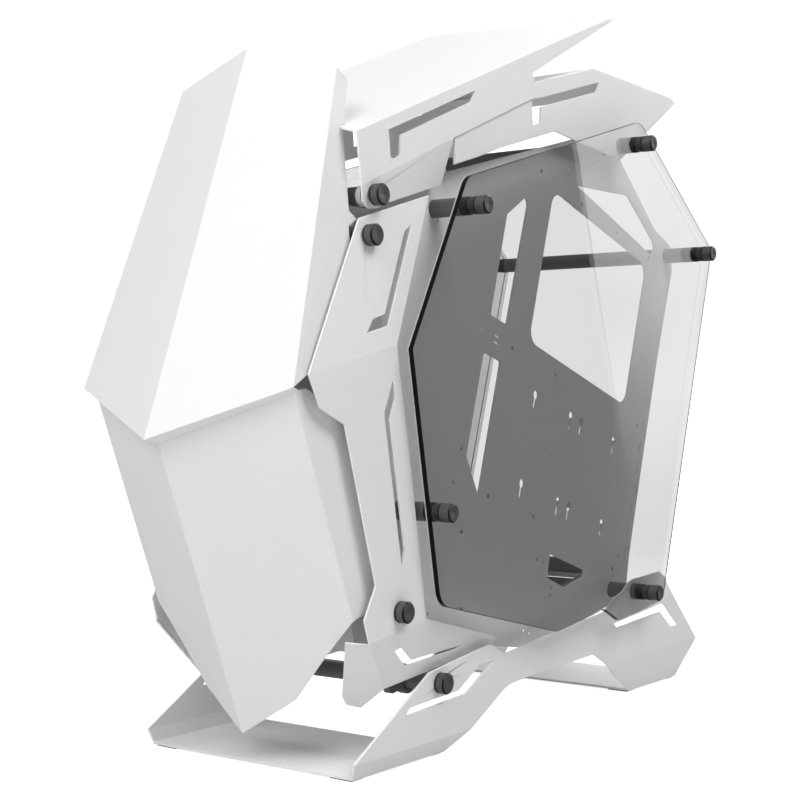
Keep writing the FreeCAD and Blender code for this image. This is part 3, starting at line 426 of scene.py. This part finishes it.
# %% Loose solids
def loose_boxes(name):
    """Lowest and highest corner of each separate solid of a node, in order of Y and Z."""
    mesh = NODES[name].data
    points = np.empty(len(mesh.vertices) * 3)
    mesh.vertices.foreach_get("co", points)
    points = points.reshape(-1, 3)
    corners = np.empty(len(mesh.loops), int)
    mesh.loops.foreach_get("vertex_index", corners)
    _, same = np.unique(np.round(points, 6), axis=0, return_inverse=True)
    faces = same.ravel()[corners].reshape(-1, 3)
    label = np.arange(faces.max() + 1)
    while True:
        lowest = label[faces].min(1)
        new = label.copy()
        for column in range(3):
            np.minimum.at(new, faces[:, column], lowest)
        if (new == label).all():
            break
        label = new
    owner = label[same.ravel()]
    boxes = [(points[owner == one].min(0), points[owner == one].max(0))
             for one in np.unique(owner)]
    return sorted(boxes, key=lambda box: tuple(np.round(box[0][[1, 2, 0]], 4)))


knob_boxes = {name: loose_boxes(name) for name in ("glass_knobs", "frame_knobs")}
print("knobs:", {name: len(boxes) for name, boxes in knob_boxes.items()})

# %% [markdown]
# ## Surfaces from formulas
#
# A turned piece is a profile carried round an axis: two numbers place a point, how far
# along the profile it lies and how far round the axis. Both are laid out as a grid and
# the whole surface is worked out at once.


# %% Mesh from a grid
FOLD_ANGLE = math.radians(35)


def grid_faces(rows, columns):
    """Quads between the rows of a grid whose columns close on themselves."""
    row, column = np.meshgrid(np.arange(rows - 1), np.arange(columns), indexing="ij")
    after = (column + 1) % columns
    quads = [row * columns + column, row * columns + after,
             (row + 1) * columns + after, (row + 1) * columns + column]
    return np.stack(quads, -1).reshape(-1, 4)


def turned_surface(profile, columns):
    """Points of profile turned about X: (x, r cos a, r sin a) for angles a round the circle."""
    profile = np.array(profile, float)
    angle = np.linspace(0, 2 * math.pi, columns, endpoint=False)
    along, radius = profile[:, :1], profile[:, 1:2]
    points = np.stack([along + 0 * angle, radius * np.cos(angle), radius * np.sin(angle)], -1)
    return points.reshape(-1, 3), grid_faces(len(profile), columns)


def joined_piece(name, parts, finishes, node, which=None):
    """One object from several (points, faces) pairs, which stands for a CAD node. The list
    which gives each face its number among the finishes."""
    start, points, faces = 0, [], []
    for some_points, some_faces in parts:
        points.append(some_points)
        faces.append(some_faces + start)
        start += len(some_points)
    mesh = bpy.data.meshes.new(name)
    mesh.from_pydata(np.concatenate(points), [], np.concatenate(faces))
    for finish in finishes:
        mesh.materials.append(finish)
    if which is not None:
        mesh.polygons.foreach_set("material_index", which.astype(np.int32))
    piece = bpy.data.objects.new(name, mesh)
    bpy.context.scene.collection.objects.link(piece)
    clean_up(mesh)
    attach(piece, "root")
    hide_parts(node)
    print(name, "has", len(mesh.polygons), "faces")
    return piece


def clean_up(mesh):
    """Poles closed, normals outwards, smooth with sharp folds kept."""
    work = bmesh.new()
    work.from_mesh(mesh)
    bmesh.ops.remove_doubles(work, verts=work.verts, dist=1e-7)
    bmesh.ops.dissolve_degenerate(work, edges=work.edges, dist=1e-8)
    bmesh.ops.recalc_face_normals(work, faces=work.faces)
    work.to_mesh(mesh)
    work.free()
    mesh.shade_smooth()
    mesh.set_sharp_from_angle(angle=FOLD_ANGLE)


# %% [markdown]
# ## Knobs
#
# Each rod ends in a plain turned knob the width of a fingertip. A rubber washer sits between
# it and the sheet, with a sleeve through the hole of the glass. The side runs straight, the
# rim is cut at an angle, and the end face is a shallow dish with the lathe's centre mark.


# %% Turned knobs
WASHER = 0.0012
SLEEVE_RADIUS = 0.0066
KNOB_COLUMNS = 72
RIM_CUT = 0.0011
DISH = 0.0002
CENTRE_MARK = 0.0012
KNOB, RUBBER, SHADED_RIM = 0, 1, 2


def knob_profile(length, radius, sleeve):
    """Along X from the sheet outwards: (x, r), and the finish of each step between rows."""
    rows = [(-sleeve, 0), (-sleeve, SLEEVE_RADIUS), (0, SLEEVE_RADIUS)] if sleeve else [(0, 0)]
    finishes = [KNOB] * (len(rows) - 1) + [RUBBER]
    rows += [(0, radius - 0.0001), (WASHER, radius - 0.0001), (WASHER, radius - 0.0006),
             (WASHER + 0.0003, radius - 0.0006), (WASHER + 0.0004, radius)]
    # the groove between the washer and the knob takes the painted shade tone
    finishes += [RUBBER, RUBBER, SHADED_RIM, SHADED_RIM, KNOB]
    face = radius - RIM_CUT
    rows += [(length - RIM_CUT, radius), (length - 0.0001, face), (length, face - 0.0001),
             (length, face - 0.0004), (length - DISH, face - 0.0012),
             (length - DISH, CENTRE_MARK), (length - DISH - 0.0003, CENTRE_MARK - 0.0005),
             (length - DISH - 0.0003, 0)]
    # the angled rim cut takes the painted shade tone
    finishes += [SHADED_RIM] + [KNOB] * 6
    return rows, finishes


def knobs(node, sleeve):
    parts, finishes = [], []
    for low, high in knob_boxes[node]:
        side = 1 if low[0] > 0 else -1
        radius = (high[1] - low[1]) / 2
        length = high[0] - low[0]
        base = low[0] if side > 0 else high[0]
        rows, steps = knob_profile(length, radius, sleeve)
        points, faces = turned_surface(rows, KNOB_COLUMNS)
        middle = np.array([base, (low[1] + high[1]) / 2, (low[2] + high[2]) / 2])
        parts.append((points * [side, 1, 1] + middle, faces))
        finishes.append(np.repeat(steps, KNOB_COLUMNS))
    return joined_piece("turned_" + node, parts, (knob_finish, rubber, painted_shade_rim_finish), node,
                        np.concatenate(finishes))


glass_knob_piece = knobs("glass_knobs", PANE_OUTER - PANE_INNER)
frame_knob_piece = knobs("frame_knobs", 0)

# %% [markdown]
# ## Rubber rings
#
# A soft ring sits behind each pane so that the glass doesn't touch the metal. Its outer
# corners are moulded round, and it has a fine parting line at mid length.


# %% Spacer rings
RING_BORE = 0.0034
RING_COLUMNS = 56


def ring_profile(length, radius, bore):
    """A closed loop (x, r): out along the bore, back along the outside, corners rounded."""
    soft = 0.0002
    line = 0.0001
    return [(0, bore), (0, radius - soft), (soft * 0.3, radius - soft * 0.3),
            (soft, radius), (length / 2 - 0.0003, radius), (length / 2, radius - line),
            (length / 2 + 0.0003, radius), (length - soft, radius),
            (length - soft * 0.3, radius - soft * 0.3), (length, radius - soft),
            (length, bore), (0, bore)]


def rings(node):
    parts = []
    for low, high in loose_boxes(node):
        profile = ring_profile(high[0] - low[0], (high[1] - low[1]) / 2, RING_BORE)
        points, faces = turned_surface(profile, RING_COLUMNS)
        middle = np.array([low[0], (low[1] + high[1]) / 2, (low[2] + high[2]) / 2])
        parts.append((points + middle, faces))
    return joined_piece("moulded_" + node, parts, (rubber,), node)


ring_piece = rings("glass_spacers")

# %% [markdown]
# ## Front ears of the hood
#
# The hood's two sides reach a little further forward under the wing than its roof does.
# Each ear is a flat plate in line with the side behind it, so an outline with a wall is
# all it needs.

# %% Hood ears
SHEET_WALL = 0.0015
# corners of an ear as (Y, Z), in order round it
EAR_OUTLINE = [(-0.0860, 0.4408), (-0.0500, 0.4985), (-0.0600, 0.4870), (-0.0860, 0.4760)]


def plate(low, high, outline, start):
    """Corners and faces of a plate from X = low to high over a (Y, Z) outline, with its
    corners counted from start: two caps, and a quad along each side of the outline."""
    count = len(outline)
    after = [*range(1, count), 0]
    points = [(x, y, z) for x in (low, high) for y, z in outline]
    faces = [[start + i for i in range(count)],
             [start + count + i for i in reversed(range(count))]]
    faces += [(start + i, start + count + i, start + count + after[i], start + after[i])
              for i in range(count)]
    return points, faces


def hood_ears():
    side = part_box("top_rear_hood")[1][0]
    near_points, near_faces = plate(side - SHEET_WALL, side, EAR_OUTLINE, 0)
    far_points, far_faces = plate(-side, -side + SHEET_WALL, EAR_OUTLINE, len(near_points))
    mesh = bpy.data.meshes.new("hood_ears")
    mesh.from_pydata(near_points + far_points, [], near_faces + far_faces)
    mesh.materials.append(white_coat)
    ears = bpy.data.objects.new("hood_ears", mesh)
    bpy.context.scene.collection.objects.link(ears)
    clean_up(mesh)
    mesh.shade_flat()
    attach(ears, "root")
    return ears


ear_piece = hood_ears()
print("ears:", len(ear_piece.data.polygons), "faces")

# %% [markdown]
# ## Surround
#
# The picture is a studio one, in front of a white sweep. Seen by the camera, the surround is
# brighter than white, so it stays pale behind one pane of grey glass, as in the studio. The
# sweep is lit from the left, so its white falls off behind the right part of the glass. As
# light it counts for next to nothing: lamps alone light the case.

# %% Surround
SURROUND = 1.49
SURROUND_RIGHT = 1.1
DIM_FROM = (0.1364, 0.1396)
DIM_ABOVE = (0.005, 0.06)
TO_THE_RIGHT = (math.cos(TURN), math.sin(TURN), 0.167)
FILL = 0.02
SHEEN = 0.22


def white_surround():
    """World that is white for eyes and glass, SHEEN for mirrors and FILL as light. The
    white falls from SURROUND to SURROUND_RIGHT towards TO_THE_RIGHT, above the horizon
    only."""
    sky = Finish("white_surround", world=True)
    way = sky.node("ShaderNodeTexCoord", out="Generated")
    upright = sky.node("ShaderNodeSeparateXYZ", {}, {"Vector": way}, out="Z")
    compass = sky.node("ShaderNodeVectorMath", {"operation": "DOT_PRODUCT"},
                       [(0, way), (1, TO_THE_RIGHT)], out="Value")
    lowest = sky.fade(upright, DIM_ABOVE, SURROUND, SURROUND_RIGHT)
    white = sky.fade(compass, DIM_FROM, SURROUND, lowest)
    seen, mirrored, passed = (sky.node("ShaderNodeLightPath", out="Is %s Ray" % kind)
                              for kind in ("Camera", "Glossy", "Transmission"))
    unseen = sky.fade(mirrored, (0, 1), FILL, SHEEN)
    strength = sky.fade(seen + passed, (0, 1), unseen, white)
    light = sky.node("ShaderNodeBackground", {}, {"Color": WHITE, "Strength": strength})
    bpy.context.scene.world = sky.show(light)
    return bpy.context.scene.world


print("surround:", white_surround().name)

# %% [markdown]
# ## Floor
#
# The sweep's floor is a wide disc. Near the case it is a pale matt sheet that takes the
# case's shadow, lifted to white for the camera; far off it fades into the surround. Mirrors
# don't see it, so no horizon shows in the glass.

# %% Floor
FLOOR_REACH = 12
FLOOR_DROP = 0.0002
FADES_OVER = (0.55, 1.6)
LIFT = 0.85


def pale_floor():
    """A disc under the case: pale and shaded near it, and the surround's white far off."""
    floor = Finish("pale_floor")
    away = floor.node("ShaderNodeVectorMath", {"operation": "LENGTH"}, [(0, floor.place())],
                      out="Value")
    far = floor.fade(away, FADES_OVER, 0, 1, "SMOOTHSTEP")
    camera_ray = floor.node("ShaderNodeLightPath", out="Is Camera Ray")
    grain = floor.grain(40)
    pale = floor.node("ShaderNodeBsdfPrincipled", {}, {
        "Base Color": floor.tint(grain, (0.69, 0.69, 0.69), (0.71, 0.71, 0.71)),
        "Roughness": 0.8 + grain * 0.1, "Specular IOR Level": 0.2})
    lifted = floor.node("ShaderNodeAddShader", {}, [(0, pale), (1, floor.glow(LIFT))])
    near = floor.mix(camera_ray, pale, lifted)
    floor.show(floor.mix(far * camera_ray, near, floor.glow(SURROUND)))
    angle = np.linspace(0, 2 * math.pi, 64, endpoint=False)
    rim = np.stack([FLOOR_REACH * np.cos(angle), FLOOR_REACH * np.sin(angle),
                    0 * angle - FLOOR_DROP], -1)
    mesh = bpy.data.meshes.new("pale_floor")
    mesh.from_pydata(rim, [], [list(range(len(rim)))])
    mesh.materials.append(floor.owner)
    disc = bpy.data.objects.new("pale_floor", mesh)
    bpy.context.scene.collection.objects.link(disc)
    disc.visible_glossy = False
    return disc


floor_disc = pale_floor()
print("floor reaches", FLOOR_REACH, "m")

# %% [markdown]
# ## Light in the glass
#
# The right part of the glass mirrors a bright wall, whose edge draws a slanted line down
# the pane. A plain white card off to the right gives that mirror image. Its edge is found
# from the line on the pane, because a mirror image lies as far behind the pane as the card
# stands in front of it.

# %% Mirrored card
STRIP_X = 0.9
STRIP_RISE = 0.4
STRIP_WIDTH = 1.4
# (Y, Z) of the line on the pane, and the card's strength there and further right
PANE_LINE = [(0.048, 0.5078, 3.3, 2.7), (0.0578, 0.4765, 3.2, 2.7), (0.0779, 0.4142, 2.9, 2.5),
             (0.0985, 0.347, 2.2, 2.3), (0.1286, 0.2626, 1.0, 0.9), (0.1523, 0.1841, 0.2, 0.4),
             (0.1711, 0.1215, 0.05, 0.2)]


def sky_strip():
    """A bright sheet that only mirrors see, in the plane x = STRIP_X. Its left edge is
    p + r (p - eye) for each point p of PANE_LINE, where r is how far the card stands from
    the pane for each metre that the eye does. Its strength grows from each point's first
    value to its second over STRIP_RISE metres."""
    card = Finish("sky_strip")
    strength = card.node("ShaderNodeAttribute", {"attribute_name": "strength"}, out="Fac")
    card.show(card.glow(strength))
    reach = (STRIP_X - PANE_OUTER) / (EYE.x - PANE_OUTER)
    line = np.array(PANE_LINE)
    edge = np.stack([line[:, 0] * 0 + STRIP_X, line[:, 0] + reach * (line[:, 0] - EYE.y),
                     line[:, 1] + reach * (line[:, 1] - EYE.z)], -1)
    rows = [edge + [0, along, 0] for along in (0, STRIP_RISE, STRIP_WIDTH)]
    count = len(edge)
    faces = [(row * count + i, row * count + i + 1, (row + 1) * count + i + 1,
              (row + 1) * count + i) for row in (0, 1) for i in range(count - 1)]
    mesh = bpy.data.meshes.new("sky_strip")
    mesh.from_pydata(np.concatenate(rows), [], faces)
    shade = mesh.attributes.new("strength", "FLOAT", "POINT")
    shade.data.foreach_set("value", np.concatenate([line[:, 2], line[:, 3], line[:, 3]]))
    mesh.materials.append(card.owner)
    strip = bpy.data.objects.new("sky_strip", mesh)
    bpy.context.scene.collection.objects.link(strip)
    strip.visible_camera = False
    strip.visible_diffuse = False
    strip.visible_shadow = False
    strip.visible_transmission = False
    return strip


print("card:", len(sky_strip().data.polygons), "faces")

# %% [markdown]
# ## Lamps
#
# Broad soft boxes stand round the case: a key from the front, one high over the glass side,
# one behind, and weak ones that keep the remaining sides from going dark. A box over a
# metre wide gives the soft shadows of a studio. The camera doesn't see them.

# %% Lamps
MIDDLE = (0, 0, 0.3)
BOX_SIDE = 1.2
# name, place and watts
LAMPS = [
    ("front_key", (0.2, -1.9, 1.6), 21),
    ("front_low", (0.3, -2.0, 0.35), 8.5),
    ("front_left", (-1.2, -1.6, 1.4), 6),
    ("near_high", (1.5, -0.2, 1.9), 29),
    ("back_high", (0.0, 1.8, 1.6), 29),
    ("back_left", (-1.8, 0.9, 1.2), 14),
    ("overhead", (0.0, 0.0, 2.3), 3),
]


def soft_box(name, place, watts):
    """Square lamp at place that faces the middle of the case, unseen by the camera."""
    lamp = bpy.data.lights.new(name, "AREA")
    lamp.shape = "RECTANGLE"
    lamp.size = BOX_SIDE
    lamp.size_y = BOX_SIDE
    lamp.energy = watts
    box = bpy.data.objects.new(name, lamp)
    box.location = place
    box.rotation_euler = (Vector(MIDDLE) - Vector(place)).to_track_quat("-Z", "Y").to_euler()
    box.visible_camera = False
    bpy.context.scene.collection.objects.link(box)


for lamp in LAMPS:
    soft_box(*lamp)
print("lamps:", len(bpy.data.lights))
